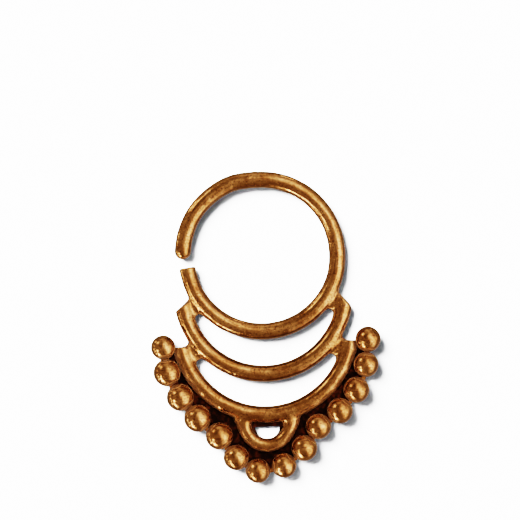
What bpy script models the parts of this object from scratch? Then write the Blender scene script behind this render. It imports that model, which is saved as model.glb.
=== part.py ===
"""Open septum nose ring in antiqued brass, soldered from round wire, sheet and granules.

It lies on its back. The front is +Z, the hoop's top is +Y, and the flat back of the sheet is on z = 0.
The origin is under the middle of the whole ring. Lengths are metres, and angles are degrees.
"""
import math

import bmesh
import bpy
from mathutils import Matrix, Vector

# Hoop and crescents
INNER_DIAMETER = 0.0100
WIRE = 0.0012
UPPER_GAP = 0.0019
LOWER_GAP = 0.0018
SEAM = 0.0001
UPPER_JOINT = 30.5
LOWER_JOINT = 31.6

# Keel loop under the lower crescent
KEEL_RADIUS = 0.00167
KEEL_WIRE = 0.0010
KEEL_LEAN = 1.0
KEEL_BITE = 20.0

# Backing plate, its window, and the beads on its edge
PLATE = 0.0005
PLATE_RIM = 0.0003
WINDOW_STRIP = 0.0003
WINDOW_TUCK = 0.00005
BEAD = 0.0019

# Wires and beads clear the plate's flat back by this much
LIFT = 0.00005

# Facets
WIRE_RESOLUTION = 5
BEAD_SIDES = 14
BEAD_BANDS = 10
ARC_STEP = 6.0
SMALL_ARC_STEP = 12.0
CAP_WELD = 0.000001
END_RINGS = 3
END_LEAN = 80.0

# Bends of the hoop, counter-clockwise from its lower end to its free end, past a full turn.
# Columns: direction from the hoop's centre, radius as a share of the wire's true radius
HOOP_BENDS = (
    (187.2, 0.990),
    (208.0, 1.000),
    (340.0, 0.998),
    (360.0, 0.988),
    (448.0, 0.990),
    (478.0, 1.024),
    (508.0, 1.037),
    (540.8, 1.037),
)

# Roundness of the hoop's lower and free ends, as a share of the wire's radius
HOOP_ENDS = (0.25, 0.95)

# Lean of the saw cut on the middle crescent's left and right ends
MIDDLE_CUTS = (32.0, 45.0)

# Beads, from the top down.
# Columns: angle below level about the lower crescent's centre, distance of the bead's centre from
# the lower crescent's outer edge as a share of BEAD, diameter as a share of BEAD
LEFT_BEADS = (
    (8.3, 0.35, 0.95),
    (22.0, 0.50, 1.05),
    (36.8, 0.57, 1.05),
    (50.8, 0.69, 1.05),
    (64.7, 0.87, 1.05),
    (75.1, 1.46, 0.98),
    (84.8, 1.86, 0.95),
)
RIGHT_BEADS = (
    (8.3, 0.36, 0.98),
    (22.0, 0.50, 0.97),
    (36.2, 0.61, 1.00),
    (50.0, 0.66, 0.99),
    (63.7, 0.67, 0.98),
    (74.1, 1.22, 1.00),
    (84.4, 1.70, 0.95),
)

# Solder in the two corners under each wire.
# Columns: angle below level about the wire's centre, half length and half height as shares of WIRE
SOLDER = {
    "hoop": (35.0, 0.50, 0.38),
    "middle": (38.5, 0.55, 0.38),
}

# Dots of solder at the keel's feet: radius and distance outside its centreline as shares of KEEL_WIRE
KEEL_DOT = 0.34
KEEL_DOT_OUT = 0.42

BRASS = (0.46, 0.21, 0.055, 1.0)
BRASS_ROUGHNESS = 0.3

for item in list(bpy.data.objects):
    bpy.data.objects.remove(item)
pieces = bpy.data.collections.new("pieces")
cutters = bpy.data.collections.new("cutters")
for shelf in (pieces, cutters):
    bpy.context.scene.collection.children.link(shelf)


def polar(drop, radius, angle):
    """Point at an angle about a centre that lies `drop` below the hoop's centre."""
    turn = math.radians(angle)
    return Vector((radius * math.cos(turn), radius * math.sin(turn) - drop, 0.0))


def hung_arc(drop, radius, joint, gap):
    """Drop, radius and right end of the arc that hangs `gap` under a wire and meets it at both joints."""
    end = polar(drop, radius + WIRE + SEAM, -joint)
    bottom = drop + radius + WIRE + gap
    new_drop = (bottom**2 - end.length_squared) / (2 * (bottom + end.y))
    return new_drop, bottom - new_drop, end


def eased(table, angle):
    """Share at an angle, with a smooth change from one row of the table to the next."""
    for (before, low), (after, high) in zip(table, table[1:]):
        if angle <= after:
            break
    step = min(max((angle - before) / (after - before), 0.0), 1.0)
    return low + (high - low) * (1 - math.cos(math.pi * step)) / 2


def keep_mesh(name, mesh, shelf=pieces):
    """Object for one piece or cutter, which the ring's unions read and which isn't rendered."""
    piece = bpy.data.objects.new(name, mesh)
    shelf.objects.link(piece)
    piece.hide_render = True
    piece.display_type = "WIRE"
    return piece


def from_bmesh(name, shape, smooth=True):
    bmesh.ops.recalc_face_normals(shape, faces=shape.faces)
    mesh = bpy.data.meshes.new(name)
    shape.to_mesh(mesh)
    shape.free()
    if smooth:
        mesh.shade_smooth()
    return mesh


def bent_wire(name, points, thickness, swell=None):
    """Round wire through the points, as a mesh. `swell` is each point's share of the thickness."""
    line = bpy.data.curves.new(name, "CURVE")
    line.dimensions = "3D"
    line.twist_mode = "Z_UP"
    line.bevel_depth = thickness / 2
    line.bevel_resolution = WIRE_RESOLUTION
    line.use_fill_caps = True
    spline = line.splines.new("POLY")
    spline.points.add(len(points) - 1)
    for number, point in enumerate(points):
        spline.points[number].co = (point.x, point.y, thickness / 2 + LIFT, 1.0)
        spline.points[number].radius = swell[number] if swell else 1.0
    curve = bpy.data.objects.new(name, line)
    bpy.context.scene.collection.objects.link(curve)
    mesh = bpy.data.meshes.new_from_object(curve.evaluated_get(bpy.context.evaluated_depsgraph_get()))
    bpy.data.objects.remove(curve)
    shape = bmesh.new()
    shape.from_mesh(mesh)
    bmesh.ops.remove_doubles(shape, verts=shape.verts, dist=CAP_WELD)
    return from_bmesh(name, shape)


def sawn(mesh, point, away):
    """The mesh without what lies beyond a flat cut, and with the cut closed."""
    shape = bmesh.new()
    shape.from_mesh(mesh)
    everything = shape.verts[:] + shape.edges[:] + shape.faces[:]
    cut = bmesh.ops.bisect_plane(shape, geom=everything, plane_co=point, plane_no=away, clear_outer=True)
    rim = [item for item in cut["geom_cut"] if isinstance(item, bmesh.types.BMEdge)]
    bmesh.ops.edgenet_fill(shape, edges=rim)
    return from_bmesh(mesh.name, shape)


def arc(drop, radius, start, stop, pitch=ARC_STEP):
    """Points along an arc, about `pitch` degrees apart."""
    count = round(abs(stop - start) / pitch)
    return [polar(drop, radius, start + (stop - start) * step / count) for step in range(count + 1)]


def rounded_end(tip, inwards, share, radius):
    """Angle and swell of each ring from a rounded tip to the full wire."""
    length = math.degrees(share * WIRE / 2 / radius)
    rings = []
    for ring in range(END_RINGS + 1):
        lean = math.radians(END_LEAN * (1 - ring / END_RINGS))
        rings.append((tip + inwards * length * (1 - math.sin(lean)), 1 - share * (1 - math.cos(lean))))
    return rings


def hoop_mesh(radius):
    """Bent circle with its gap at the left: a lightly rounded lower end and a domed free end."""
    lower_tip, free_tip = HOOP_BENDS[0][0], HOOP_BENDS[-1][0]
    first = rounded_end(lower_tip, 1, HOOP_ENDS[0], radius)
    last = rounded_end(free_tip, -1, HOOP_ENDS[1], radius)
    start, sweep = first[-1][0], last[-1][0] - first[-1][0]
    count = round(sweep / ARC_STEP)
    between = [(start + sweep * step / count, 1.0) for step in range(1, count)]
    rings = first + between + last[::-1]
    points = [polar(0.0, radius * eased(HOOP_BENDS, angle), angle) for angle, _ in rings]
    return bent_wire("hoop", points, WIRE, [swell for _, swell in rings])


def middle_mesh(drop, radius, end):
    """Arc whose two ends are sawn off at a lean, beside the hoop."""
    level = math.degrees(math.asin((end.y + drop) / radius))
    spare = math.degrees(WIRE / radius)
    mesh = bent_wire("middle_crescent", arc(drop, radius, 180 - level - spare, 360 + level + spare), WIRE)
    for side, lean in zip((-1, 1), MIDDLE_CUTS):
        turn = math.radians(lean)
        away = Vector((side * math.sin(turn), math.cos(turn), 0.0))
        mesh = sawn(mesh, Vector((side * end.x, end.y, 0.0)), away)
    return mesh


def lower_mesh(drop, radius, end):
    """Arc whose two ends are sawn off level, in line with the plate's top edges."""
    level = math.degrees(math.asin((end.y + drop) / radius))
    spare = math.degrees(WIRE / radius)
    mesh = bent_wire("lower_crescent", arc(drop, radius, 180 - level - spare, 360 + level + spare), WIRE)
    return sawn(mesh, Vector((0.0, end.y, 0.0)), Vector((0.0, 1.0, 0.0)))


def keel_centre(drop, radius):
    """The keel loop's centre is on the lower crescent's outer edge, a little left of the bottom."""
    return polar(drop, radius + WIRE / 2, 270 - KEEL_LEAN)


def keel_mesh(centre):
    points = arc(0.0, KEEL_RADIUS, 180 - KEEL_BITE, 360 + KEEL_BITE, SMALL_ARC_STEP)
    return bent_wire("keel_loop", [point + centre for point in points], KEEL_WIRE)


def ball_mesh(name, centre, half_sizes, turn=0.0):
    shape = bmesh.new()
    place = Matrix.Translation(centre) @ Matrix.Rotation(turn, 4, "Z")
    place = place @ Matrix.Diagonal(half_sizes).to_4x4()
    bmesh.ops.create_uvsphere(
        shape, u_segments=BEAD_SIDES, v_segments=BEAD_BANDS, radius=1.0, matrix=place
    )
    return from_bmesh(name, shape)


def bead_places(drop, radius):
    """Centre and radius of each bead, from the top left round the bottom to the top right."""
    places = []
    for side, table in ((-1, LEFT_BEADS), (1, reversed(RIGHT_BEADS))):
        for angle, reach, share in table:
            centre = polar(drop, radius + WIRE / 2 + reach * BEAD, -angle)
            half = BEAD * share / 2
            places.append((Vector((side * centre.x, centre.y, half + LIFT)), half))
    return places


def plate_mesh(drop, radius, top, places):
    """Band of sheet from the lower crescent's centreline out past the beads' centres."""
    middle = Vector((0.0, -drop, 0.0))
    inner, outer = [], []
    for number, (centre, _) in enumerate(places):
        away = Vector((centre.x, centre.y, 0.0)) - middle
        rim = 0.0 if number in (0, len(places) - 1) else PLATE_RIM
        outer.append(middle + away.normalized() * (away.length + rim))
        inner.append(middle + away.normalized() * radius)
    for ends in (inner, outer):
        ends[0].y = ends[-1].y = top
    shape = bmesh.new()
    low = [[shape.verts.new(point) for point in line] for line in (inner, outer)]
    sheet = []
    for step in range(len(places) - 1):
        corners = (low[0][step], low[1][step], low[1][step + 1], low[0][step + 1])
        sheet.append(shape.faces.new(corners))
    raised = bmesh.ops.extrude_face_region(shape, geom=sheet)
    top_points = [item for item in raised["geom"] if isinstance(item, bmesh.types.BMVert)]
    bmesh.ops.translate(shape, verts=top_points, vec=(0.0, 0.0, PLATE))
    return from_bmesh("nose_ring", shape, smooth=False)


def window_mesh(centre):
    """Half disc, flat side up, that opens the plate inside the keel loop.

    It stands out of both faces of the plate by the plate's own thickness.
    """
    radius = KEEL_RADIUS - KEEL_WIRE / 2 - WINDOW_STRIP + WINDOW_TUCK
    shape = bmesh.new()
    points = [point + centre for point in arc(WINDOW_STRIP, radius, 180.0, 360.0, SMALL_ARC_STEP)]
    face = shape.faces.new([shape.verts.new((point.x, point.y, -PLATE)) for point in points])
    raised = bmesh.ops.extrude_face_region(shape, geom=[face])
    top_points = [item for item in raised["geom"] if isinstance(item, bmesh.types.BMVert)]
    bmesh.ops.translate(shape, verts=top_points, vec=(0.0, 0.0, 3 * PLATE))
    return from_bmesh("window", shape, smooth=False)


def solder_meshes(name, upper, lower):
    """Nugget in each of the two corners where the lower wire comes up against the upper one."""
    angle, length, height = SOLDER[name]
    (upper_drop, upper_radius), (lower_drop, lower_radius) = upper, lower
    ray = polar(0.0, 1.0, -angle)
    fall = upper_drop - lower_drop
    along = ray.y * fall
    reach = along + math.sqrt(along**2 - fall**2 + lower_radius**2)
    middle = (upper_radius + reach) / 2
    half_sizes = ((reach - upper_radius) / 2, length * WIRE, height * WIRE)
    for side in (-1, 1):
        centre = polar(upper_drop, middle, -angle)
        place = Vector((side * centre.x, centre.y, WIRE / 2 + LIFT))
        keep_mesh(f"solder_{name}", ball_mesh("solder", place, half_sizes, side * math.radians(-angle)))


def keel_dots(centre):
    for side in (-1, 1):
        out = KEEL_RADIUS + KEEL_DOT_OUT * KEEL_WIRE
        place = centre + Vector((side * out, KEEL_DOT * KEEL_WIRE, KEEL_WIRE / 2 + LIFT))
        half = KEEL_DOT * KEEL_WIRE
        keep_mesh("solder_keel", ball_mesh("solder", place, (half, half, half)))


def aged_brass():
    material = bpy.data.materials.new("aged_brass")
    material.use_nodes = True
    surface = material.node_tree.nodes["Principled BSDF"]
    surface.inputs["Base Color"].default_value = BRASS
    surface.inputs["Metallic"].default_value = 1.0
    surface.inputs["Roughness"].default_value = BRASS_ROUGHNESS
    return material


def unite(ring, operation, **what):
    step = ring.modifiers.new(operation.lower(), "BOOLEAN")
    step.operation = operation
    step.solver = "EXACT"
    for key, value in what.items():
        setattr(step, key, value)


hoop = (0.0, (INNER_DIAMETER + WIRE) / 2)
middle_drop, middle_radius, middle_end = hung_arc(*hoop, UPPER_JOINT, UPPER_GAP)
middle = (middle_drop, middle_radius)
lower_drop, lower_radius, lower_end = hung_arc(*middle, LOWER_JOINT, LOWER_GAP)
lower = (lower_drop, lower_radius)
keel = keel_centre(*lower)
beads = bead_places(*lower)

keep_mesh("hoop", hoop_mesh(hoop[1]))
keep_mesh("middle_crescent", middle_mesh(*middle, middle_end))
keep_mesh("lower_crescent", lower_mesh(*lower, lower_end))
keep_mesh("keel_loop", keel_mesh(keel))
for bead_centre, bead_half in beads:
    keep_mesh("bead", ball_mesh("bead", bead_centre, (bead_half, bead_half, bead_half)))
solder_meshes("hoop", hoop, middle)
solder_meshes("middle", middle, lower)
keel_dots(keel)

nose_ring = bpy.data.objects.new("nose_ring", plate_mesh(*lower, lower_end.y, beads))
bpy.context.scene.collection.objects.link(nose_ring)
window = keep_mesh("window", window_mesh(keel), cutters)

# Everything moves together, so that the origin is under the middle of the ring
corners = [vertex.co for piece in (*pieces.objects, nose_ring) for vertex in piece.data.vertices]
across, up = ([corner[axis] for corner in corners] for axis in (0, 1))
centring = -Vector((min(across) + max(across), min(up) + max(up), 0.0)) / 2
for piece in (*pieces.objects, nose_ring, window):
    piece.data.transform(Matrix.Translation(centring))

unite(nose_ring, "DIFFERENCE", object=window)
unite(nose_ring, "UNION", operand_type="COLLECTION", collection=pieces)
nose_ring.data.materials.append(aged_brass())
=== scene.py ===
# %% [markdown]
# # An antiqued brass septum ring
# The ring is round brass wire, a small sheet and a row of granules, soldered together and then
# darkened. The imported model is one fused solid, which is right for resting and weighing it, but its
# facets would show on polished metal. So the looks are built again beside it, piece by piece, as
# smooth surfaces worked out with numpy, in the same frame and at the same sizes.

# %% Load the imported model
import math

import bmesh
import bpy
import numpy as np
from mathutils import Matrix, Vector


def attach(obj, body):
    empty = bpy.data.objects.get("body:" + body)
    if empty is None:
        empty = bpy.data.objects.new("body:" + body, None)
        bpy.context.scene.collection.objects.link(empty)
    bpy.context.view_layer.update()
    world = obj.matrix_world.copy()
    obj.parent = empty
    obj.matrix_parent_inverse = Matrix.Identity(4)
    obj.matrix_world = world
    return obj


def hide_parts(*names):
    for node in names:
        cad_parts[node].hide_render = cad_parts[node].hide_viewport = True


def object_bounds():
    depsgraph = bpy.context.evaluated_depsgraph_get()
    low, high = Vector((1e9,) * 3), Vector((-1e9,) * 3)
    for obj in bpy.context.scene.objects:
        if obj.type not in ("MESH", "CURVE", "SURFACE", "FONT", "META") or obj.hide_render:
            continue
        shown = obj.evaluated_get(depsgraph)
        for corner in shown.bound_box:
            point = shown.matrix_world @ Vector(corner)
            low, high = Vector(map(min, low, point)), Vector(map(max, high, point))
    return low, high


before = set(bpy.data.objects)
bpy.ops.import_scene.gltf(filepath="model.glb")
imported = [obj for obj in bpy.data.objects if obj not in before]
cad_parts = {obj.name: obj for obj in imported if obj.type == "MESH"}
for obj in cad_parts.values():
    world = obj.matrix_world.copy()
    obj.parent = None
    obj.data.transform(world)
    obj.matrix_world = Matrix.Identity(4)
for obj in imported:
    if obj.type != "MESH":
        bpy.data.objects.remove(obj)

CAD_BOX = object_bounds()
print("CAD box, mm:", [[round(1000 * value, 2) for value in corner] for corner in CAD_BOX])

# %% [markdown]
# ## Sizes
# A smith thinks of this ring as wire gauge, ring size and bead size, so those are the driving
# sizes, in metres. Each crescent hangs a known gap below the wire above it and touches that wire at
# a known angle, and those two facts fix its circle. The ring rests on the flat back of its sheet,
# and the wires and beads lie a hair above that, by LIFT.

# %% Driving sizes
# Joints are in degrees below level, and the keel loop's lean and bite are in degrees too
MM = 0.001
INNER_DIAMETER = 10.0 * MM
WIRE = 1.2 * MM
UPPER_GAP = 1.9 * MM
LOWER_GAP = 1.8 * MM
SEAM = 0.1 * MM
UPPER_JOINT = 30.5
LOWER_JOINT = 31.6
KEEL_RADIUS = 1.67 * MM
KEEL_WIRE = 1.0 * MM
KEEL_LEAN = 1.0
KEEL_BITE = 20.0
PLATE = 0.5 * MM
PLATE_RIM = 0.3 * MM
WINDOW_STRIP = 0.3 * MM
WINDOW_TUCK = 0.05 * MM
BEAD = 1.9 * MM
LIFT = 0.05 * MM

# %% Bends of the hoop and the places of the beads
# Columns: direction from the hoop's centre in degrees, radius as a share of the true circle
HOOP_BENDS = np.array((
    (187.2, 0.990),
    (208.0, 1.000),
    (340.0, 0.998),
    (360.0, 0.988),
    (448.0, 0.990),
    (478.0, 1.024),
    (508.0, 1.037),
    (540.8, 1.037),
))

# Columns: degrees below level about the lower crescent's centre, distance of the bead's centre from
# that crescent's outer edge as a share of BEAD, diameter as a share of BEAD
LEFT_BEADS = (
    (8.3, 0.35, 0.95),
    (22.0, 0.50, 1.05),
    (36.8, 0.57, 1.05),
    (50.8, 0.69, 1.05),
    (64.7, 0.87, 1.05),
    (75.1, 1.46, 0.98),
    (84.8, 1.86, 0.95),
)
RIGHT_BEADS = (
    (8.3, 0.36, 0.98),
    (22.0, 0.50, 0.97),
    (36.2, 0.61, 1.00),
    (50.0, 0.66, 0.99),
    (63.7, 0.67, 0.98),
    (74.1, 1.22, 1.00),
    (84.4, 1.70, 0.95),
)


# %% Circles of the three wires
def polar(centre, radius, degrees):
    """Centre plus radius times (cos, sin) of an angle. Angles and radii may be arrays."""
    turn = np.radians(degrees)
    return np.stack([centre[0] + radius * np.cos(turn), centre[1] + radius * np.sin(turn)], -1)


def hung_arc(centre, radius, joint, gap):
    """Circle through the two joints and the lowest point: its centre's height is
    (joint distance squared - bottom squared) / (2 (bottom + joint height)), all below the hoop's centre."""
    end = polar(centre, radius + WIRE + SEAM, -joint)
    bottom = radius + WIRE + gap - centre[1]
    drop = (bottom**2 - end @ end) / (2 * (bottom + end[1]))
    return np.array((0.0, -drop)), bottom - drop, end


hoop_radius = (INNER_DIAMETER + WIRE) / 2
middle_centre, middle_radius, middle_end = hung_arc(np.zeros(2), hoop_radius, UPPER_JOINT, UPPER_GAP)
lower_centre, lower_radius, lower_end = hung_arc(middle_centre, middle_radius, LOWER_JOINT, LOWER_GAP)
keel_centre = polar(lower_centre, lower_radius + WIRE / 2, 270 - KEEL_LEAN)
print("radii, mm:", [round(radius / MM, 2) for radius in (hoop_radius, middle_radius, lower_radius)])

# %% [markdown]
# ## Where the ring lies in the frame
# So far the hoop's centre is at zero. The frame has its zero under the middle of the whole ring, so
# every centre moves by one step, found from the outer beads and the lowest bead.


# %% Move every centre into the frame
def bead_rows(side, table):
    """Centre, and radius, of each bead: out from the lower crescent along a ray of the table."""
    rows = []
    for degrees, reach, share in table:
        x, y = polar(lower_centre, lower_radius + WIRE / 2 + reach * BEAD, -degrees)
        rows.append((side * x, y, share * BEAD / 2))
    return np.array(rows)


left_beads = bead_rows(-1, LEFT_BEADS)
right_beads = bead_rows(1, RIGHT_BEADS)
all_beads = np.concatenate([left_beads, right_beads])
own_low = (all_beads[:, :2] - all_beads[:, 2:]).min(0)
own_right = (all_beads[:, 0] + all_beads[:, 2]).max()
low, high = (np.array(corner) for corner in CAD_BOX)
shift = np.array(((low[0] + high[0] - own_low[0] - own_right) / 2, low[1] - own_low[1]))
hoop_centre = shift
middle_centre = middle_centre + shift
lower_centre = lower_centre + shift
keel_centre = keel_centre + shift
left_beads[:, :2] += shift
right_beads[:, :2] += shift
all_beads[:, :2] += shift
plate_top = lower_end[1] + shift[1]
print("hoop centre, mm:", (hoop_centre / MM).round(3))

# %% [markdown]
# ## Solder as a field of distance
# On the real ring the solder has run into every corner, so wires flow into each other. A Boolean
# would give hard creases, and a voxel remesh would melt the crisp saw cuts. Instead each piece keeps
# its own clean grid, and its points are pushed out along their normals until they lie on one soft
# skin round all the pieces: the skin where -k log(sum(exp(-d / k))) is zero, for distances d.


# %% A wire's facts
def eased(table, degrees):
    """Share at an angle, going from row to row of the table along half a cosine wave."""
    turns, shares = table.T
    row = np.clip(np.searchsorted(turns, degrees, side="right") - 1, 0, len(turns) - 2)
    step = np.clip((degrees - turns[row]) / (turns[row + 1] - turns[row]), 0, 1)
    return shares[row] + (shares[row + 1] - shares[row]) * (1 - np.cos(np.pi * step)) / 2


def wire(centre, radius, start, stop, half, roundings=(1.0, 1.0), leans=(0.0, 0.0)):
    """A wire's facts: the circle's centre, its radius as a function of the angle, its ends, how round
    each end is as a share of half the wire, and how far each end leans as a tangent."""
    return {"centre": centre, "radius": radius, "start": start, "stop": stop, "half": half,
            "roundings": roundings, "leans": np.tan(np.radians(leans)),
            "height": LIFT + half, "degrees_per_metre": np.degrees(1 / radius(np.array(270.0)))}


# %% Distance to a wire
def rounded_both(first, second, rounding):
    """Distance to what two shapes share, with its edge rounded: length of (a + r, b + r) less r."""
    first, second = first + rounding, second + rounding
    outside = np.hypot(np.maximum(first, 0), np.maximum(second, 0))
    return outside + np.minimum(np.maximum(first, second), 0) - rounding


def distance_to_wire(points, one):
    """Distance from the bent centreline less half the wire, cut off at each end by a leaning plane."""
    flat = points[..., :2] - one["centre"]
    middle = (one["start"] + one["stop"]) / 2
    degrees = middle + (np.degrees(np.arctan2(flat[..., 1], flat[..., 0])) - middle + 180) % 360 - 180
    out = np.hypot(flat[..., 0], flat[..., 1]) - one["radius"](degrees)
    tube = np.hypot(out, points[..., 2] - one["height"]) - one["half"]
    first_lean, last_lean = one["leans"]
    before = (one["start"] - degrees) / one["degrees_per_metre"] + out * first_lean
    after = (degrees - one["stop"]) / one["degrees_per_metre"] - out * last_lean
    before_plane = before / math.hypot(1, first_lean)
    after_plane = after / math.hypot(1, last_lean)
    first_round, last_round = one["roundings"]
    return np.where(degrees < middle, rounded_both(tube, before_plane, first_round * one["half"]),
                    rounded_both(tube, after_plane, last_round * one["half"]))


# %% Distance to a bead and to a nugget
def distance_to_bead(points, bead):
    """Distance from the bead's centre less its radius."""
    x, y, half = bead
    return np.linalg.norm(points - (x, y, half + LIFT), axis=-1) - half


def distance_to_nugget(points, nugget):
    """Length of the point's place in the nugget's own half sizes, less 1, times its smallest half size."""
    centre, turn, half_sizes = nugget
    own = (points - centre) @ turn
    return (np.linalg.norm(own / half_sizes, axis=-1) - 1) * half_sizes.min()


# %% Outline of the sheet, and distance to it
bead_angles = np.degrees(np.arctan2(*(all_beads[:, :2] - lower_centre).T[::-1])) % 360
bead_reach = np.linalg.norm(all_beads[:, :2] - lower_centre, axis=1)
order = np.argsort(bead_angles)
rim_angles = bead_angles[order]
# The sheet reaches past every bead's centre but the two end ones, where it is cut level
at_end = np.isin(np.arange(len(order)), (0, len(order) - 1))
rim_reach = bead_reach[order] + PLATE_RIM * ~at_end


def plate_outline(degrees):
    """Distance of the sheet's outer edge from the lower crescent's centre, on a ray."""
    return np.interp(degrees, rim_angles, rim_reach)


def distance_to_plate(points):
    """As for a box: the length of what sticks out past each limit, or else the nearest limit."""
    flat = points[..., :2] - lower_centre
    degrees = np.degrees(np.arctan2(flat[..., 1], flat[..., 0])) % 360
    reach = np.linalg.norm(flat, axis=-1)
    past = np.stack([
        points[..., 2] - PLATE,
        reach - plate_outline(degrees),
        lower_radius - reach,
        points[..., 1] - plate_top,
    ])
    return np.linalg.norm(np.maximum(past, 0), axis=0) + np.minimum(past.max(0), 0)


# %% Facts of each wire
# How round each wire's first and last end is, as a share of half the wire: 1 is a full dome
ROUNDINGS = {
    "hoop": (0.25, 1.0),
    "middle_crescent": (0.14, 0.3),
    "lower_crescent": (0.14, 0.14),
    "keel_loop": (0.5, 0.5),
}
# How steeply the middle crescent's saw cuts rise from level, left and right, in degrees
MIDDLE_CUTS = (32, 45)
middle_level = math.degrees(math.atan2((middle_end + shift - middle_centre)[1], middle_end[0]))
lower_level = math.degrees(math.atan2((lower_end + shift - lower_centre)[1], lower_end[0]))
WIRES = {
    "hoop": wire(hoop_centre, lambda a: hoop_radius * eased(HOOP_BENDS, a),
                 HOOP_BENDS[0, 0], HOOP_BENDS[-1, 0], WIRE / 2, ROUNDINGS["hoop"]),
    "middle_crescent": wire(middle_centre, lambda a: middle_radius + 0 * a,
                            180 - middle_level, 360 + middle_level, WIRE / 2,
                            ROUNDINGS["middle_crescent"],
                            (MIDDLE_CUTS[0] + middle_level, -MIDDLE_CUTS[1] - middle_level)),
    "lower_crescent": wire(lower_centre, lambda a: lower_radius + 0 * a,
                           180 - lower_level, 360 + lower_level, WIRE / 2,
                           ROUNDINGS["lower_crescent"], (lower_level, -lower_level)),
    "keel_loop": wire(keel_centre, lambda a: KEEL_RADIUS + 0 * a,
                      180 - KEEL_BITE, 360 + KEEL_BITE, KEEL_WIRE / 2, ROUNDINGS["keel_loop"]),
}
print("crescents end, degrees above level:", round(middle_level, 1), round(lower_level, 1))

# %% [markdown]
# ## Wear that has a place
# A nick and four pits show on the real ring, and one bright drop of solder. Each is a small round
# dip in the surface, so it is kept as a place, a size and a depth, and a negative depth is a drop.

# %% Pits, a nick and a drop
# Columns: x and y from the hoop's centre, radius, depth, all in mm
MARKS = np.array((
    (-5.09, 1.64, 0.07, 0.07),
    (-0.94, -8.39, 0.06, 0.04),
    (-5.28, -6.39, 0.06, 0.05),
    (-5.18, -6.61, 0.07, 0.07),
    (-5.06, -7.06, 0.06, 0.05),
    (5.19, -7.18, 0.12, -0.04),
)) * MM


def dips(points):
    """Depth at each point on the front: the sum over marks of depth x exp(-(distance / radius)
    squared)."""
    away = points[..., None, :2] - hoop_centre - MARKS[:, :2]
    near = np.exp(-(away**2).sum(-1) / MARKS[:, 2]**2)
    return (near * MARKS[:, 3]).sum(-1) * (points[..., 2] > LIFT + WIRE / 2)


# %% [markdown]
# ## Nuggets of solder
# A nugget fills the notch where a crescent's end comes up beside the wire above it. It is an
# ellipsoid that reaches from one wire's middle to the other's, so it always joins them, with its
# long side along the wires. Two dots more sit at the feet of the keel loop.

# %% Place the nuggets
# Columns: upper wire, lower wire, degrees below level, half length and half height as shares of WIRE
NOTCHES = (
    ("hoop", "middle_crescent", 35.0, 0.50, 0.26),
    ("middle_crescent", "lower_crescent", 38.5, 0.55, 0.26),
)
KEEL_DOT = 0.34 * KEEL_WIRE
KEEL_DOT_OUT = 0.42 * KEEL_WIRE


def notch_nuggets(upper, lower, below, length, height):
    """On the ray from the upper wire's centre, halfway between the two wires."""
    above, under = WIRES[upper], WIRES[lower]
    nuggets = []
    for side, degrees in ((-1, 180 + below), (1, 360 - below)):
        near = above["radius"](np.array(degrees))
        ray = polar((0, 0), 1.0, degrees)
        fall = under["centre"] - above["centre"]
        far = ray @ fall + math.sqrt((ray @ fall)**2 - fall @ fall + under["radius"](0.0)**2)
        centre = np.append(above["centre"] + ray * (near + far) / 2, above["height"])
        turn = np.array(Matrix.Rotation(math.radians(degrees), 3, "Z"))
        nuggets.append((centre, turn, np.array(((far - near) / 2, length * WIRE, height * WIRE))))
    return nuggets


NUGGETS = [nugget for row in NOTCHES for nugget in notch_nuggets(*row)]
for side in (-1, 1):
    dot = keel_centre + (side * (KEEL_RADIUS + KEEL_DOT_OUT), KEEL_DOT)
    NUGGETS.append((np.append(dot, WIRES["keel_loop"]["height"]), np.eye(3), np.full(3, KEEL_DOT)))
print("nuggets:", len(NUGGETS))

# %% [markdown]
# ## The soft skin
# All distances join in one soft skin. A point of a piece slides out to it along a fixed direction,
# and how far it slid tells where solder covers the piece. There the piece is also shaded with the
# skin's own slope and not with its mesh's, so that two pieces that cross in the solder look like one.


# %% The soft skin and its slope
SLOPE_STEP = 0.004 * MM


def skin(points, parts, fillet):
    """Soft least distance: -k log(sum(exp(-d / k))), with k the fillet."""
    return -fillet * np.logaddexp.reduce([-part(points) / fillet for part in parts], axis=0)


def slope(points, parts, fillet):
    """Direction in which the skin's distance, with the marks' depths added, grows fastest: its change
    over a small step along x, y and z, made one unit long."""
    ends = [[points + way * SLOPE_STEP * axis for way in (1, -1)] for axis in np.eye(3)]
    change = [skin(a, parts, fillet) + dips(a) - skin(b, parts, fillet) - dips(b) for a, b in ends]
    change = np.stack(change, -1)
    return change / np.maximum(np.linalg.norm(change, axis=-1, keepdims=True), 1e-12)


# %% Points pushed out to the skin
NEWTON_STEPS = 12
SOLDER_FROM = 0.02 * MM
LOWEST = LIFT / 4


def pushed_out(points, normals, parts, fillet, most):
    """Points moved out along their normals on to the soft skin, by Newton steps of slope 1, and the
    share of solder there: 0 where a point stayed, 1 where it moved SOLDER_FROM or more.

    No point moves further than most, so one deep inside another piece can't burst out of it."""
    step = np.zeros(points.shape[:-1])
    for _ in range(NEWTON_STEPS):
        step = np.clip(step - skin(points + step[..., None] * normals, parts, fillet), 0, most)
    moved = points + (step - dips(points))[..., None] * normals
    moved[..., 2] = np.maximum(moved[..., 2], LOWEST)
    share = np.clip(step / SOLDER_FROM, 0, 1)
    return moved, share**2 * (3 - 2 * share)


# %% Parts of the field
def part_of(function, fact):
    """The distance function of one piece, which takes points alone."""
    return lambda points: function(points, fact)


wire_parts = {name: part_of(distance_to_wire, fact) for name, fact in WIRES.items()}
nugget_parts = [part_of(distance_to_nugget, fact) for fact in NUGGETS]
bead_parts = [part_of(distance_to_bead, fact) for fact in all_beads]
everything = [*wire_parts.values(), *nugget_parts, *bead_parts, distance_to_plate]
print("parts in the field:", len(everything))

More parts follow.
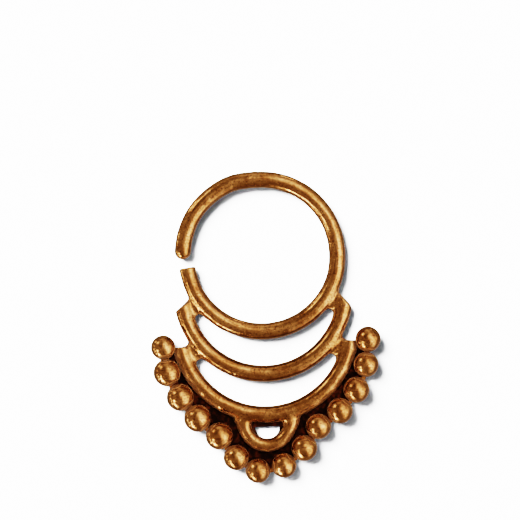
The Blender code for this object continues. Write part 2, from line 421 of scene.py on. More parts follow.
# %% [markdown]
# ## From a grid to a closed mesh
# Every piece is a grid of points: rows along it and columns round it. The columns close on
# themselves, and the first and last rows shrink to one point each, so the surface is sealed. Each
# piece also stores how sheltered its points are, because polishing shot can't reach there and the
# dark patina stays. The field of distances gives this at once: it is short of open space near metal.

# %% Shelter
SHELTER_STEPS = (0.12 * MM, 0.3 * MM, 0.6 * MM, 1.1 * MM)


def sheltered(points, normals):
    """Mean over steps s out along the normal of 1 - distance / s: 0 in the open, 1 in a tight corner."""
    shade = np.zeros(len(points))
    for step in SHELTER_STEPS:
        nearest = np.min([part(points + step * normals) for part in everything], axis=0)
        shade += (1 - np.clip(nearest / step, 0, 1)) / len(SHELTER_STEPS)
    return shade


# %% Mesh object with its layers
FULL_PIT = 0.09 * MM
WELD = 0.00001 * MM


def read(items, key):
    """A vector of every item, such as each vertex's place, as rows of three."""
    values = np.zeros(3 * len(items))
    items.foreach_get(key, values)
    return values.reshape(-1, 3)


def store(mesh, name, values):
    """Writes one number, or one vector, per point as a named attribute."""
    kind, key = ("FLOAT", "value") if values.ndim == 1 else ("FLOAT_VECTOR", "vector")
    mesh.attributes.new(name, kind, "POINT").data.foreach_set(key, values.astype(np.float32).ravel())


def new_piece(name, points, faces, soft=None, **layers):
    """Mesh object at the origin, turned inside out if its volume comes out negative, with its layers.

    soft is the parts and fillet of its skin, whose slope shades it where solder covers it."""
    mesh = bpy.data.meshes.new(name)
    mesh.from_pydata(points.tolist(), [], faces)
    mesh.polygons.foreach_set("use_smooth", np.full(len(faces), soft is not None))
    for key, values in layers.items():
        store(mesh, key, values)
    shape = bmesh.new()
    shape.from_mesh(mesh)
    bmesh.ops.remove_doubles(shape, verts=shape.verts, dist=WELD)
    if shape.calc_volume(signed=True) < 0:
        bmesh.ops.reverse_faces(shape, faces=shape.faces)
    shape.to_mesh(mesh)
    shape.free()
    places = read(mesh.vertices, "co")
    normals = read(mesh.vertex_normals, "vector")
    if soft is not None:
        solder = np.zeros(len(places))
        mesh.attributes["solder"].data.foreach_get("value", solder)
        normals = normals + solder[:, None] * (slope(places, *soft) - normals)
        normals /= np.linalg.norm(normals, axis=1, keepdims=True)
        mesh.normals_split_custom_set_from_vertices(normals.tolist())
    # A pit holds oxide as a corner does, the more the deeper it is
    pitted = np.clip(dips(places) / FULL_PIT, 0, 1)
    recess = np.maximum(sheltered(places, normals), pitted)
    store(mesh, "recess", recess)
    piece = bpy.data.objects.new(name, mesh)
    bpy.context.scene.collection.objects.link(piece)
    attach(piece, "root")
    print(f"{name}: {len(mesh.polygons)} faces, mean shelter {recess.mean():.2f}")
    return piece


# %% Grid to closed mesh
def ring_faces(rows, columns):
    """Quads between neighbouring rows, with the last column joined to the first."""
    row, column = np.meshgrid(np.arange(rows - 1), np.arange(columns), indexing="ij")
    after = (column + 1) % columns
    corners = (row * columns + column, row * columns + after,
               (row + 1) * columns + after, (row + 1) * columns + column)
    return np.stack(corners, -1).reshape(-1, 4)


def with_poles(grid):
    """Rows between the poles as one list, then the two poles."""
    return np.concatenate([grid[1:-1].reshape(-1, *grid.shape[2:]), grid[:1, 0], grid[-1:, 0]])


def closed_grid(name, grid, soft, **layers):
    """Rows between two poles: the first and last rows hold one point each, so they close as fans."""
    rows, columns = grid.shape[:2]
    points = with_poles(grid)
    faces = ring_faces(rows - 2, columns).tolist()
    first, last = len(points) - 2, len(points) - 1
    column = np.arange(columns)
    after = (column + 1) % columns
    top = (rows - 3) * columns
    faces += np.stack([after, column, np.full(columns, first)], -1).tolist()
    faces += np.stack([top + column, top + after, np.full(columns, last)], -1).tolist()
    layers = {key: with_poles(layer) for key, layer in layers.items()}
    return new_piece(name, points, faces, soft, **layers)


# %% [markdown]
# ## Wires
# Each wire is a circle carried along an arc. At an end the circle shrinks: first round a small
# corner, then straight in to the middle of the saw cut. A cut that leans is made by sliding each
# point along the arc by its distance from the centreline times the tangent of the lean. Wire pulled
# by hand through a draw plate is never quite even, so two slow waves swell it by under a hundredth.


# %% Rings of a wire
CUT_RINGS = 4
CORNER_RINGS = 9


def end_rings(rounding):
    """Distance in from the tip, and size of the circle, of each ring, as shares of half the wire."""
    flat = np.linspace(0, 1 - rounding, CUT_RINGS, endpoint=False) if rounding < 1 else np.zeros(0)
    lean = np.radians(np.linspace(90, 0, CORNER_RINGS))
    inwards = np.concatenate([0 * flat, rounding * (1 - np.sin(lean))])
    return inwards, np.concatenate([flat, 1 - rounding + rounding * np.cos(lean)])


def rings_along(one, rows):
    """Angle along the arc, and size of the circle, of each ring: first end, evenly spaced run, last end."""
    half, scale = one["half"], one["degrees_per_metre"]
    (first_in, first_size), (last_in, last_size) = (end_rings(rounding) for rounding in one["roundings"])
    start = one["start"] + first_in * half * scale
    stop = one["stop"] - last_in * half * scale
    between = np.linspace(start[-1], stop[-1], rows)[1:-1]
    along = np.concatenate([start, between, stop[::-1]])[:, None]
    size = np.concatenate([first_size, np.ones(rows - 2), last_size[::-1]])[:, None] * half
    return along, size


# %% Wire surface
FILLET = 0.10 * MM
WIRE_PUSH = 0.32 * MM
UNEVEN = 0.008
# Columns: waves along the wire in radians per mm, and how far they twist round it
WAVES = ((2.7, 2.0), (4.9, 3.0))
# A flare fades out over so many degrees, and a lean over so many times half the wire
FLARE_REACH = 50.0
LEAN_REACH = 4.0
SAW_SHADE = 0.035 * MM
SAWN = ("middle_crescent", "lower_crescent")


def wire_surface(name, rows, columns, flare=(0.0, 0.0)):
    """Centre + (radius + s cos b, s sin b) in polar form: s is the ring's size, b the angle round it.

    A flare widens the wire outwards towards its first and last end, and a lean slides it along."""
    one = WIRES[name]
    half, scale = one["half"], one["degrees_per_metre"]
    along, size = rings_along(one, rows)
    from_ends = along - one["start"], one["stop"] - along
    round_it = np.linspace(0, 2 * np.pi, columns, endpoint=False)[None]
    wider = sum(most * (1 + np.cos(np.pi * np.clip(far / FLARE_REACH, 0, 1))) / 2
                for most, far in zip(flare, from_ends))
    length = np.radians(along) * one["radius"](along) / MM
    (slow, slow_twist), (quick, quick_twist) = WAVES
    drawn = 1 + UNEVEN * (np.sin(slow * length + slow_twist * np.cos(round_it))
                          + np.sin(quick * length + quick_twist * np.sin(round_it)))
    out = size * np.cos(round_it) * (1 + wider) * drawn + half * wider
    up = size * np.sin(round_it) * drawn
    slide = sum(lean * np.clip(1 - far / (LEAN_REACH * half * scale), 0, 1)
                for lean, far in zip(one["leans"], from_ends))
    degrees = along + out * slide * scale
    flat = polar(one["centre"], one["radius"](degrees) + out, degrees)
    grid = np.concatenate([flat, one["height"] + up[..., None]], -1)
    soft = [*wire_parts.values(), *nugget_parts], FILLET
    outwards = slope(grid, [wire_parts[name]], FILLET)
    grid, solder = pushed_out(grid, outwards, *soft, WIRE_PUSH)
    run = np.stack([length * MM + 0 * out, out, up], -1)
    sawn = np.exp(-np.maximum(np.minimum(*from_ends) / scale, 0) / SAW_SHADE)
    sawn = sawn * (name in SAWN) * (1 - solder)
    return closed_grid(name, grid, soft, run=run, sawn=sawn, solder=solder)


# %% Four wires
# Columns: name, rows, columns, how much wider each end is as a share
WIRE_GRIDS = (
    ("hoop", 900, 96, (0.0, 0.0)),
    ("middle_crescent", 560, 96, (0.0, 0.0)),
    ("lower_crescent", 560, 96, (0.0, 0.0)),
    ("keel_loop", 220, 72, (0.15, 0.35)),
)
wires = [wire_surface(*row) for row in WIRE_GRIDS]

# %% [markdown]
# ## Granules and solder
# A granule is a scrap of wire melted on charcoal: it draws itself into a ball, but never a perfect
# one. Each is a sphere of two angles, swelled a little by a few low waves, and pushed out to the
# soft skin where it meets its neighbours and the sheet. A nugget is made the same way.

# %% Uneven balls
noise = np.random.default_rng(7)


def ball_grid(rows, columns):
    """Unit directions over latitude and longitude, with both poles."""
    down = np.linspace(0, np.pi, rows)[:, None]
    round_it = np.linspace(0, 2 * np.pi, columns, endpoint=False)[None]
    return np.stack([np.sin(down) * np.cos(round_it), np.sin(down) * np.sin(round_it),
                     np.cos(down) + 0 * round_it], -1)


def uneven(directions, depth):
    """1 plus a sum of four waves over the sphere, each cos(2 or 3 times a direction's lean)."""
    swell = np.ones(directions.shape[:-1])
    for turns in (2, 2, 3, 3):
        axis = noise.normal(size=3)
        lean = np.arccos(np.clip(directions @ (axis / np.linalg.norm(axis)), -1, 1))
        swell += depth * np.cos(turns * lean)
    return swell


# %% Beads
BEAD_GRID = (49, 72)
BEAD_UNEVEN = 0.004
BEAD_FILLET = 0.035 * MM
BEAD_PUSH = 0.12 * MM
NEAR_BEADS = 1.6 * BEAD


def bead_piece(name, number):
    """Centre + half x swell x direction, pushed out where a neighbour or the sheet is near."""
    x, y, half = all_beads[number]
    directions = ball_grid(*BEAD_GRID)
    swell = uneven(directions, BEAD_UNEVEN)
    grid = np.array((x, y, half + LIFT)) + half * swell[..., None] * directions
    near = [part for part, bead in zip(bead_parts, all_beads)
            if np.hypot(*(bead[:2] - (x, y))) < NEAR_BEADS]
    soft = [*near, distance_to_plate], BEAD_FILLET
    grid, solder = pushed_out(grid, directions, *soft, BEAD_PUSH)
    return closed_grid(name, grid, soft, run=grid, solder=solder)


beads = [bead_piece(f"bead_left_{n + 1}", n) for n in range(len(LEFT_BEADS))]
beads += [bead_piece(f"bead_right_{n + 1}", n + len(LEFT_BEADS)) for n in range(len(RIGHT_BEADS))]


# %% Solder nuggets
NUGGET_GRID = (41, 56)
NUGGET_UNEVEN = 0.02
NUGGET_PUSH = 0.45 * MM
# A nugget lies this far proud of the skin, so that its surface and no wire's is what shows there
NUGGET_PROUD = 0.003 * MM


def nugget_piece(name, number):
    """Ellipsoid: each direction times the half sizes and the swell, turned, and pushed out to the skin."""
    centre, turn, half_sizes = NUGGETS[number]
    directions = ball_grid(*NUGGET_GRID)
    own = directions * half_sizes * uneven(directions, NUGGET_UNEVEN)[..., None]
    normals = directions / half_sizes
    normals /= np.linalg.norm(normals, axis=-1, keepdims=True)
    normals = normals @ turn.T
    soft = [*wire_parts.values(), *nugget_parts], FILLET
    grid, _ = pushed_out(centre + own @ turn.T, normals, *soft, NUGGET_PUSH)
    grid = grid + NUGGET_PROUD * normals
    return closed_grid(name, grid, soft, run=grid, solder=np.ones(grid.shape[:2]))


solder = [nugget_piece(f"solder_{n + 1}", n) for n in range(len(NUGGETS))]

# %% [markdown]
# ## Backing sheet
# The sheet fills the space between the lower crescent and the beads, with a D-shaped window inside
# the keel loop. A ray from the crescent's centre meets the inner edge, then perhaps the window's
# flat top and round sill, then the outer edge. So the sheet is two bands of rays and radii that
# share a seam, and the seam parts round the window.

# %% Rays of the sheet
SHEET_RAYS = 520
window_centre = keel_centre - (0, WINDOW_STRIP)
window_radius = KEEL_RADIUS - KEEL_WIRE / 2 - WINDOW_STRIP + WINDOW_TUCK
corner_from = [window_centre + (side * window_radius, 0) - lower_centre for side in (-1, 1)]
corner_angles = [math.degrees(math.atan2(y, x)) % 360 for x, y in corner_from]
rays = np.linspace(rim_angles[0], rim_angles[-1], SHEET_RAYS)
for corner in corner_angles:
    rays[np.abs(rays - corner).argmin()] = corner
inside = (rays >= corner_angles[0]) & (rays <= corner_angles[1])


# %% Edges and seam of the sheet
def window_edges(degrees):
    """Radii where a ray meets the window's flat top and, by the circle's quadratic, its round sill."""
    ray = polar((0, 0), 1.0, degrees)
    to_centre = window_centre - lower_centre
    flat_top = to_centre[1] / ray[:, 1]
    along = ray @ to_centre
    sill = along + np.sqrt(np.maximum(along**2 - to_centre @ to_centre + window_radius**2, 0))
    return flat_top, sill


outer_edge = plate_outline(rays)
flat_top, sill = window_edges(rays)
corner_share = [(np.linalg.norm(corner) - lower_radius) / (plate_outline(degrees) - lower_radius)
                for corner, degrees in zip(corner_from, corner_angles)]
# The seam starts and ends halfway out, and meets the window's two corners in between
seam_share = np.interp(rays, [rays[0], *corner_angles, rays[-1]], [0.5, *corner_share, 0.5])
seam = lower_radius + seam_share * (outer_edge - lower_radius)
seam_top = np.where(inside, flat_top, seam)
seam_sill = np.where(inside, np.maximum(sill, flat_top), seam)


# %% Bands, walls and strips
LEVEL_REACH = 6.0


def sheet_band(inner, outer, count, height):
    """Points at ray angles and evenly shared radii between two edges. Near each end the rays lean,
    so that the sheet's top edges are level."""
    radius = inner[:, None] + np.linspace(0, 1, count)[None] * (outer - inner)[:, None]
    level = np.degrees(np.arcsin(np.clip((lower_centre[1] - plate_top) / radius, -1, 1)))
    fade_left = np.clip(1 - (rays - rays[0]) / LEVEL_REACH, 0, 1)[:, None]
    fade_right = np.clip(1 - (rays[-1] - rays) / LEVEL_REACH, 0, 1)[:, None]
    degrees = rays[:, None] + fade_left * (180 + level - rays[0]) + fade_right * (360 - level - rays[-1])
    flat = polar(lower_centre, radius, degrees)
    return np.concatenate([flat, np.full((*radius.shape, 1), height)], -1)


def strip_faces(rows, columns):
    """Quads between neighbouring rows and columns of an open grid."""
    row, column = np.meshgrid(np.arange(rows - 1), np.arange(columns - 1), indexing="ij")
    corner = row * columns + column
    return np.stack([corner, corner + 1, corner + columns + 1, corner + columns], -1).reshape(-1, 4)


def wall_between(upper, lower_line, count=6):
    """Points shared evenly from each point of the upper line straight down to the lower one."""
    mix = np.linspace(0, 1, count)[None, :, None]
    return upper[:, None] * (1 - mix) + lower_line[:, None] * mix


# %% Top and back of the sheet
SHEET_FILLET = 0.05 * MM
SHEET_PUSH = 0.2 * MM
BAND_COLUMNS = (12, 40)
sheet_soft = [*wire_parts.values(), *bead_parts, distance_to_plate], SHEET_FILLET
limits = (np.full(SHEET_RAYS, lower_radius), seam_top), (seam_sill, outer_edge)
bands = [(inner, outer, count) for (inner, outer), count in zip(limits, BAND_COLUMNS)]
upper_back, lower_back = (sheet_band(*band, 0.0) for band in bands)
# The top rises as solder does against each bead and wire
upper_top, lower_top = (pushed_out(top, np.array((0.0, 0.0, 1.0)), *sheet_soft, SHEET_PUSH)[0]
                        for top in (sheet_band(*band, PLATE) for band in bands))
seam_height = np.maximum(upper_top[:, -1, 2], lower_top[:, 0, 2])
for column in (upper_top[:, -1], lower_top[:, 0]):
    column[:, 2] = np.where(inside, column[:, 2], seam_height)
    column[np.isin(rays, corner_angles), 2] = PLATE

# %% Walls of the sheet
hole = np.flatnonzero(inside)
edges = [
    (upper_top[:, 0], upper_back[:, 0]),
    (lower_top[:, -1], lower_back[:, -1]),
    (upper_top[hole, -1], upper_back[hole, -1]),
    (lower_top[hole, 0], lower_back[hole, 0]),
]
for end in (0, -1):
    edges += [(upper_top[end], upper_back[end]), (lower_top[end], lower_back[end])]
sheet_grids = [upper_top, lower_top, upper_back, lower_back]
sheet_grids += [wall_between(*edge) for edge in edges]


# %% Sheet as one piece
SHEET_WELD = 0.0001 * MM
# In from the outer edge the sheet is worn bare, and from there on the wear fades out
WORN_BARE = 0.135 * MM
WORN_FADE = 0.45 * MM


def joined(grids):
    """Places and faces of open grids, joined where their edges meet, with the faces turned outwards."""
    sizes = [grid.shape[0] * grid.shape[1] for grid in grids]
    starts = np.cumsum([0, *sizes[:-1]])
    faces = np.concatenate([strip_faces(*grid.shape[:2]) + start for grid, start in zip(grids, starts)])
    mesh = bpy.data.meshes.new("sheet")
    mesh.from_pydata(np.concatenate([grid.reshape(-1, 3) for grid in grids]).tolist(), [], faces.tolist())
    shape = bmesh.new()
    shape.from_mesh(mesh)
    bmesh.ops.remove_doubles(shape, verts=shape.verts, dist=SHEET_WELD)
    bmesh.ops.recalc_face_normals(shape, faces=shape.faces)
    print("open edges in the sheet:", sum(len(edge.link_faces) != 2 for edge in shape.edges))
    shape.to_mesh(mesh)
    shape.free()
    return read(mesh.vertices, "co"), [tuple(face.vertices) for face in mesh.polygons]


sheet_places, sheet_faces = joined(sheet_grids)
from_centre = sheet_places[:, :2] - lower_centre
place_angles = np.degrees(np.arctan2(from_centre[:, 1], from_centre[:, 0])) % 360
past_edge = np.linalg.norm(from_centre, axis=1) - plate_outline(place_angles)
worn = np.clip(1 + (past_edge + WORN_BARE) / WORN_FADE, 0, 1)
sheet = new_piece("backing_sheet", sheet_places, sheet_faces, worn=worn)

# %% [markdown]
# ## Colours and nodes
# Colours are written as sRGB, as a colour picker shows them, and one function makes them linear. One
# small function adds a node with its settings and links, so each material below reads as a list.


# %% Colour and node helpers
def linear(code):
    """sRGB hex to linear: c / 12.92 below 0.04045, else ((c + 0.055) / 1.055) to the power 2.4."""
    channels = np.array([int(code[i:i + 2], 16) for i in (1, 3, 5)]) / 255
    values = np.where(channels <= 0.04045, channels / 12.92, ((channels + 0.055) / 1.055) ** 2.4)
    return (*values.tolist(), 1.0)


def add(tree, kind, settings=None, **inputs):
    """Node of a kind with its settings. Inputs are values or other nodes' sockets, given by name with
    _ for a space, or as _ and the input's number."""
    node = tree.nodes.new(kind)
    for key, value in (settings or {}).items():
        setattr(node, key, value)
    for key, value in inputs.items():
        socket = node.inputs[int(key[1:])] if key[0] == "_" else node.inputs[key.replace("_", " ")]
        if isinstance(value, bpy.types.NodeSocket):
            tree.links.new(value, socket)
        else:
            socket.default_value = value
    return node


def new_material(name):
    """A material, its node tree and its Principled shader."""
    material = bpy.data.materials.new(name)
    material.use_nodes = True
    tree = material.node_tree
    return material, tree, tree.nodes["Principled BSDF"]


def per_mm(size):
    """Texture scale for a feature of so many millimetres, on Object coordinates in metres."""
    return 1 / (size * MM)


# %% [markdown]
# ## Antiqued brass
# The real finish is soldered brass, dipped in a liver of sulphur bath until it is brown, and tumbled.
# Tumbling polishes what stands proud back to warm metal and leaves brown oxide in every corner. So
# one colour mixes bright metal and oxide by the stored recess and by soft mottling. The oxide is
# partly matt, so it is less metallic and rougher than the metal.


# %% Antiqued brass material
def antiqued_brass():
    """Metal and oxide mixed by the stored layers and three noises, with their relief in three bumps."""
    material, tree, surface = new_material("antiqued_brass_tumbled")
    place = add(tree, "ShaderNodeTexCoord").outputs["Object"]
    run = add(tree, "ShaderNodeAttribute", {"attribute_name": "run"}).outputs["Vector"]
    recess, sawn, solder = (
        add(tree, "ShaderNodeAttribute", {"attribute_name": layer}).outputs["Fac"]
        for layer in ("recess", "sawn", "solder"))
    # A saw cut holds a little oxide, and a corner holds it all
    cut = add(tree, "ShaderNodeMath", {"operation": "MULTIPLY"}, _0=sawn, _1=0.3)
    dark = add(tree, "ShaderNodeMath", {"operation": "MAXIMUM"}, _0=recess, _1=cut.outputs[0])
    # Mottling of the oxide, patches of about 0.8 mm
    mottle = add(tree, "ShaderNodeTexNoise", Vector=place, Scale=per_mm(0.8), Detail=5.0, Roughness=0.62)
    # Draw marks 0.09 mm wide and twelve times as long, which follow the wire
    drawn = add(tree, "ShaderNodeMapping", Vector=run, Scale=(0.08, 1.0, 1.0))
    streaks = add(tree, "ShaderNodeTexNoise", Vector=drawn.outputs[0], Scale=per_mm(0.09), Detail=2.0)
    # Solder was never drawn, so the marks fade out to flat where it covers the wire
    marks = add(tree, "ShaderNodeMix", {"data_type": "FLOAT"}, _0=solder, _2=streaks.outputs["Fac"], _3=0.5)
    # Tumbling dents and pits of about 0.14 mm
    grain = add(tree, "ShaderNodeTexNoise", Vector=place, Scale=per_mm(0.14), Detail=3.0, Roughness=0.6)
    patches = add(tree, "ShaderNodeMapRange", {"interpolation_type": "SMOOTHSTEP"},
                  Value=mottle.outputs["Fac"], From_Min=0.36, From_Max=0.66)
    specks = add(tree, "ShaderNodeMapRange", {"interpolation_type": "SMOOTHSTEP"},
                 Value=grain.outputs["Fac"], From_Min=0.5, From_Max=0.7, To_Max=0.8)
    # The mottling frays the edge of the oxide in the corners
    frayed = add(tree, "ShaderNodeMath", {"operation": "MULTIPLY_ADD"}, _0=grain.outputs["Fac"], _1=0.4,
                 _2=dark.outputs[0])
    # Some of the draw marks still hold oxide
    filled = add(tree, "ShaderNodeMapRange", {"interpolation_type": "SMOOTHSTEP"},
                 Value=marks.outputs[0], From_Min=0.54, From_Max=0.72, To_Max=0.7)
    spotted = add(tree, "ShaderNodeMath", {"operation": "MAXIMUM"}, _0=specks.outputs[0],
                  _1=filled.outputs[0])
    corners = add(tree, "ShaderNodeMapRange", {"interpolation_type": "SMOOTHSTEP"},
                  Value=frayed.outputs[0], From_Min=0.27, From_Max=0.66)
    thin = add(tree, "ShaderNodeMix", {"data_type": "RGBA"}, _0=patches.outputs[0],
               _6=linear("#D29A69"), _7=linear("#B27B4D"))
    speckled = add(tree, "ShaderNodeMix", {"data_type": "RGBA"}, _0=spotted.outputs[0],
                   _6=thin.outputs[2], _7=linear("#7E4624"))
    colour = add(tree, "ShaderNodeMix", {"data_type": "RGBA"}, _0=corners.outputs[0],
                 _6=speckled.outputs[2], _7=linear("#64401F"))
    # What one wire shows in another is kept browner, since brass seen twice over would turn orange
    again = add(tree, "ShaderNodeLightPath").outputs["Is Glossy Ray"]
    seen = add(tree, "ShaderNodeMix", {"data_type": "RGBA"}, _0=again, _6=colour.outputs[2],
               _7=linear("#8A6E52"))
    tree.links.new(seen.outputs[2], surface.inputs["Base Color"])
    coat = add(tree, "ShaderNodeMapRange", Value=corners.outputs[0], To_Min=1.0, To_Max=0.45)
    tree.links.new(coat.outputs[0], surface.inputs["Metallic"])
    shine = add(tree, "ShaderNodeMapRange", Value=marks.outputs[0], From_Min=0.3, From_Max=0.7,
                To_Min=0.11, To_Max=0.22)
    rough = add(tree, "ShaderNodeMath", {"operation": "MULTIPLY_ADD"}, _0=corners.outputs[0], _1=0.25,
                _2=shine.outputs[0])
    tree.links.new(rough.outputs[0], surface.inputs["Roughness"])
    lines = add(tree, "ShaderNodeBump", Strength=0.6, Distance=0.01 * MM, Height=marks.outputs[0])
    dents = add(tree, "ShaderNodeBump", Strength=0.6, Distance=0.014 * MM, Height=grain.outputs["Fac"],
                Normal=lines.outputs["Normal"])
    waves = add(tree, "ShaderNodeBump", Strength=0.8, Distance=0.03 * MM, Height=mottle.outputs["Fac"],
                Normal=dents.outputs["Normal"])
    tree.links.new(waves.outputs["Normal"], surface.inputs["Normal"])
    return material


# %% [markdown]
# ## Blackened sheet
# No tumbling shot reaches the sheet between the beads, so it keeps the full coat of black sulphide:
# matt, nearly black, with a little brown where the coat is thin. Only its bare outer edge, in the
# notches between two beads, is worn back to brass.


# %% Blackened sheet material
def blackened_brass():
    """Black coat, brown where it is thin over 0.4 mm patches, bare brass by the stored wear."""
    material, tree, surface = new_material("sulphide_blackened_brass")
    place = add(tree, "ShaderNodeTexCoord").outputs["Object"]
    worn = add(tree, "ShaderNodeAttribute", {"attribute_name": "worn"}).outputs["Fac"]
    thin = add(tree, "ShaderNodeTexNoise", Vector=place, Scale=per_mm(0.4), Detail=4.0)
    grain = add(tree, "ShaderNodeTexNoise", Vector=place, Scale=per_mm(0.1), Detail=3.0)
    wear = add(tree, "ShaderNodeMapRange", {"interpolation_type": "SMOOTHSTEP"},
               Value=thin.outputs["Fac"], From_Min=0.42, From_Max=0.75)
    black = add(tree, "ShaderNodeMix", {"data_type": "RGBA"}, _0=wear.outputs[0],
                _6=linear("#2E150B"), _7=linear("#6E3A1C"))
    bare = add(tree, "ShaderNodeMapRange", {"interpolation_type": "SMOOTHSTEP"},
               Value=worn, From_Min=0.35, From_Max=0.9)
    colour = add(tree, "ShaderNodeMix", {"data_type": "RGBA"}, _0=bare.outputs[0],
                 _6=black.outputs[2], _7=linear("#B98555"))
    tree.links.new(colour.outputs[2], surface.inputs["Base Color"])
    metal = add(tree, "ShaderNodeMapRange", Value=bare.outputs[0], To_Min=0.85, To_Max=1.0)
    tree.links.new(metal.outputs[0], surface.inputs["Metallic"])
    surface.inputs["Roughness"].default_value = 0.45
    pits = add(tree, "ShaderNodeBump", Strength=0.6, Distance=0.01 * MM, Height=grain.outputs["Fac"])
    tree.links.new(pits.outputs["Normal"], surface.inputs["Normal"])
    return material


# %% Dress the pieces
brass = antiqued_brass()
black = blackened_brass()
brass_pieces = (*wires, *beads, *solder)
for piece in brass_pieces:
    piece.data.materials.append(brass)
sheet.data.materials.append(black)
for piece in (*brass_pieces, sheet):
    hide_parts("nose_ring")

# %% [markdown]
# ## Camera
# The photograph looks straight at the ring's front through a long lens, with the ring turned 2.4
# degrees. The ring lies on its back here, so the camera looks straight down, turned the other way.
# The hoop's centre is put at its place in the photograph, in pixels from the top left.

# %% Camera over the ring
FRAME_WIDTH = 38.2 * MM
RING_TURN = 2.4
IMAGE_SIDE = 520
HOOP_PIXEL = (261.7, 255.1)
LENS = 200.0
SENSOR = 36.0
camera_data = bpy.data.cameras.new("camera")
camera_data.lens = LENS
camera_data.sensor_width = SENSOR
camera_data.clip_start = 0.01
camera_data.clip_end = 10.0
camera = bpy.data.objects.new("camera", camera_data)
bpy.context.scene.collection.objects.link(camera)
right_of_middle = HOOP_PIXEL[0] - IMAGE_SIDE / 2
above_middle = IMAGE_SIDE / 2 - HOOP_PIXEL[1]
from_middle = Vector((right_of_middle, above_middle)) * FRAME_WIDTH / IMAGE_SIDE
aim = Vector(hoop_centre) - from_middle @ Matrix.Rotation(math.radians(RING_TURN), 2)
height = LIFT + WIRE / 2 + FRAME_WIDTH * LENS / SENSOR
camera.matrix_world = (Matrix.Translation((aim.x, aim.y, height))
                       @ Matrix.Rotation(math.radians(-RING_TURN), 4, "Z"))
bpy.context.scene.camera = camera
print("camera at, mm:", [round(value / MM, 1) for value in camera.location])

# %% [markdown]
# ## Studio
# Polished metal shows its surroundings, so the room is chosen by what each wire and bead reflects:
# a wide bank of soft light on the right, a low one at the lower left that draws the thin bright line
# along each wire, and small low lamps for the sparks on the beads. They are glows in the room's
# shader. What is matt has lamps of its own, which no metal reflects. The floor's throw the short
# shadow to the lower right, and the oxide's is a wide one overhead.

# %% Floor
FLOOR_REACH = 0.6
floor_mesh = bpy.data.meshes.new("floor")
floor_corners = [(FLOOR_REACH * x, FLOOR_REACH * y, 0) for x, y in ((-1, -1), (1, -1), (1, 1), (-1, 1))]
floor_mesh.from_pydata(floor_corners, [], [(0, 1, 2, 3)])
floor = bpy.data.objects.new("floor", floor_mesh)
bpy.context.scene.collection.objects.link(floor)
board, _, paint = new_material("matt_white_board")
paint.inputs["Base Color"].default_value = linear("#F4F4F4")
paint.inputs["Roughness"].default_value = 0.9
paint.inputs["Specular IOR Level"].default_value = 0.0
floor_mesh.materials.append(board)
floor.visible_glossy = False

# %% Lamps for what is matt
# Columns: name, strength, width of the lamp in degrees as a point sees it, direction, what it lights
LAMPS = (
    ("floor_lamp", 36.0, 32, (-0.62, 0.60, 1.0), (floor,)),
    ("floor_lamp_soft", 2.0, 50, (-0.50, 0.50, 1.0), (floor,)),
    ("oxide_lamp", 6.0, 170, (0.0, 0.0, 1.0), brass_pieces),
)
# Brass would throw orange light into its own shadow, which is plain grey in the photograph, so the
# light that the floor scatters passes straight through the ring
for piece in (*brass_pieces, sheet):
    piece.visible_diffuse = False
for name, strength, width, toward, lit_pieces in LAMPS:
    lamp_data = bpy.data.lights.new(name, "SUN")
    lamp_data.energy = strength
    lamp_data.angle = math.radians(width)
    # Nor may that light meet a wide lamp behind the ring, which would fill the shadow up
    lamp_data.cycles.use_multiple_importance_sampling = False
    lamp = bpy.data.objects.new(name, lamp_data)
    bpy.context.scene.collection.objects.link(lamp)
    lamp.matrix_world = Vector(toward).to_track_quat("Z", "Y").to_matrix().to_4x4()
    lamp.visible_glossy = False
    lit_by_lamp = bpy.data.collections.new(f"lit_by_{name}")
    for piece in lit_pieces:
        lit_by_lamp.objects.link(piece)
    lamp.light_linking.receiver_collection = lit_by_lamp

# %% Glows of the room
# Columns: compass angle, angle from overhead, half angle of the bright middle, half angle where the
# glow ends, all in degrees, and radiance
GLOWS = (
    (0, 2, 3, 16, 0.15),
    (-14, 40, 10, 26, 1.6),
    (14, 34, 8, 26, 0.65),
    (48, 38, 8, 28, 0.8),
    (66, 28, 6, 22, 0.45),
    (2, 66, 12, 26, 1.0),
    (-30, 70, 10, 24, 1.1),
    (40, 66, 8, 24, 0.2),
    (-46, 56, 8, 26, 0.6),
    (-52, 82, 8, 22, 0.7),
    (68, 56, 6, 22, 0.45),
    (208, 60, 2, 8.5, 8.5),
    (224, 73, 2, 8, 12.0),
    (240, 83, 3, 9.5, 15.0),
    (252, 92, 3, 9, 5.0),
    (136, 69, 4, 13, 2.6),
    (92, 82, 8, 22, 0.35),
    (125, 38, 6, 28, -0.10),
    (282, 62, 10, 36, -0.08),
    (140, 96, 1.5, 5, 9.0),
    (168, 95, 1.5, 4, 6.0),
    (188, 93, 1.5, 4.5, 9.0),
    (203, 88, 1.5, 5, 9.0),
    (219, 96, 1.5, 5, 9.0),
    (68, 98, 1.5, 4.5, 5.0),
    (0, 180, 10, 40, 0.4),
)


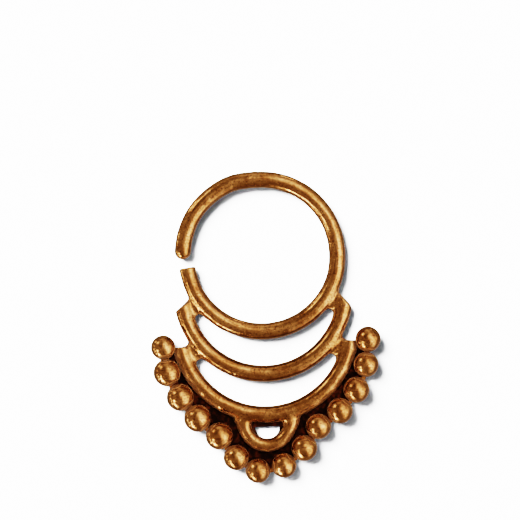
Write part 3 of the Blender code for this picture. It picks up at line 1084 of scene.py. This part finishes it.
def glow(tree, heading, total, row):
    """Adds radiance x smoothstep of the cosine between ray and glow."""
    turn, lean, middle, end = (math.radians(value) for value in row[:4])
    toward = (math.sin(lean) * math.cos(turn), math.sin(lean) * math.sin(turn), math.cos(lean))
    cosine = add(tree, "ShaderNodeVectorMath", {"operation": "DOT_PRODUCT"}, _0=heading, _1=toward)
    fall = add(tree, "ShaderNodeMapRange", {"interpolation_type": "SMOOTHSTEP"},
               Value=cosine.outputs["Value"], From_Min=math.cos(end), From_Max=math.cos(middle),
               To_Max=row[4])
    return add(tree, "ShaderNodeMath", {"operation": "ADD"}, _0=total, _1=fall.outputs[0]).outputs[0]


# %% [markdown]
# ## Room
# One room can't suit metal and matt board alike, so each kind of ray gets its own: metal sees the
# dim warm walls and the glows, matt surfaces see an even faint fill, and the camera sees white.

# %% Room shader
ROOM_OVERHEAD = 0.34
ROOM_LOW = 0.27
FLOOR_FILL = 0.09
BACKDROP = 9.0
world = bpy.data.worlds.new("room")
bpy.context.scene.world = world
world.use_nodes = True
room = world.node_tree
room.nodes.clear()
heading = add(room, "ShaderNodeTexCoord").outputs["Generated"]
upward = add(room, "ShaderNodeSeparateXYZ", Vector=heading).outputs["Z"]
walls = add(room, "ShaderNodeMapRange", {"interpolation_type": "SMOOTHSTEP"}, Value=upward,
            From_Min=-0.4, From_Max=0.5, To_Min=ROOM_LOW, To_Max=ROOM_OVERHEAD)
total = 0.0
for row in GLOWS:
    total = glow(room, heading, total, row)
ray = add(room, "ShaderNodeLightPath").outputs
warm_walls = add(room, "ShaderNodeBackground", Strength=walls.outputs[0], Color=linear("#FFF6DE"))
white_glows = add(room, "ShaderNodeBackground", Strength=total, Color=linear("#FFFDFF"))
metal_sees = add(room, "ShaderNodeAddShader", _0=warm_walls.outputs[0], _1=white_glows.outputs[0])
floor_sees = add(room, "ShaderNodeBackground", Strength=FLOOR_FILL, Color=linear("#F2F4FF"))
camera_sees = add(room, "ShaderNodeBackground", Strength=BACKDROP, Color=linear("#FFFFFF"))
lit = add(room, "ShaderNodeMixShader", _0=ray["Is Diffuse Ray"], _1=metal_sees.outputs[0],
          _2=floor_sees.outputs[0])
seen = add(room, "ShaderNodeMixShader", _0=ray["Is Camera Ray"], _1=lit.outputs[0],
           _2=camera_sees.outputs[0])
add(room, "ShaderNodeOutputWorld", Surface=seen.outputs[0])
print("glows in the room:", len(GLOWS))

# %% [markdown]
# ## Film
# A filmic curve of very high contrast gives the photograph's deep browns beside its white ground.

# %% View of the scene
view = bpy.context.scene.view_settings
view.view_transform = "Filmic"
view.look = "Very High Contrast"
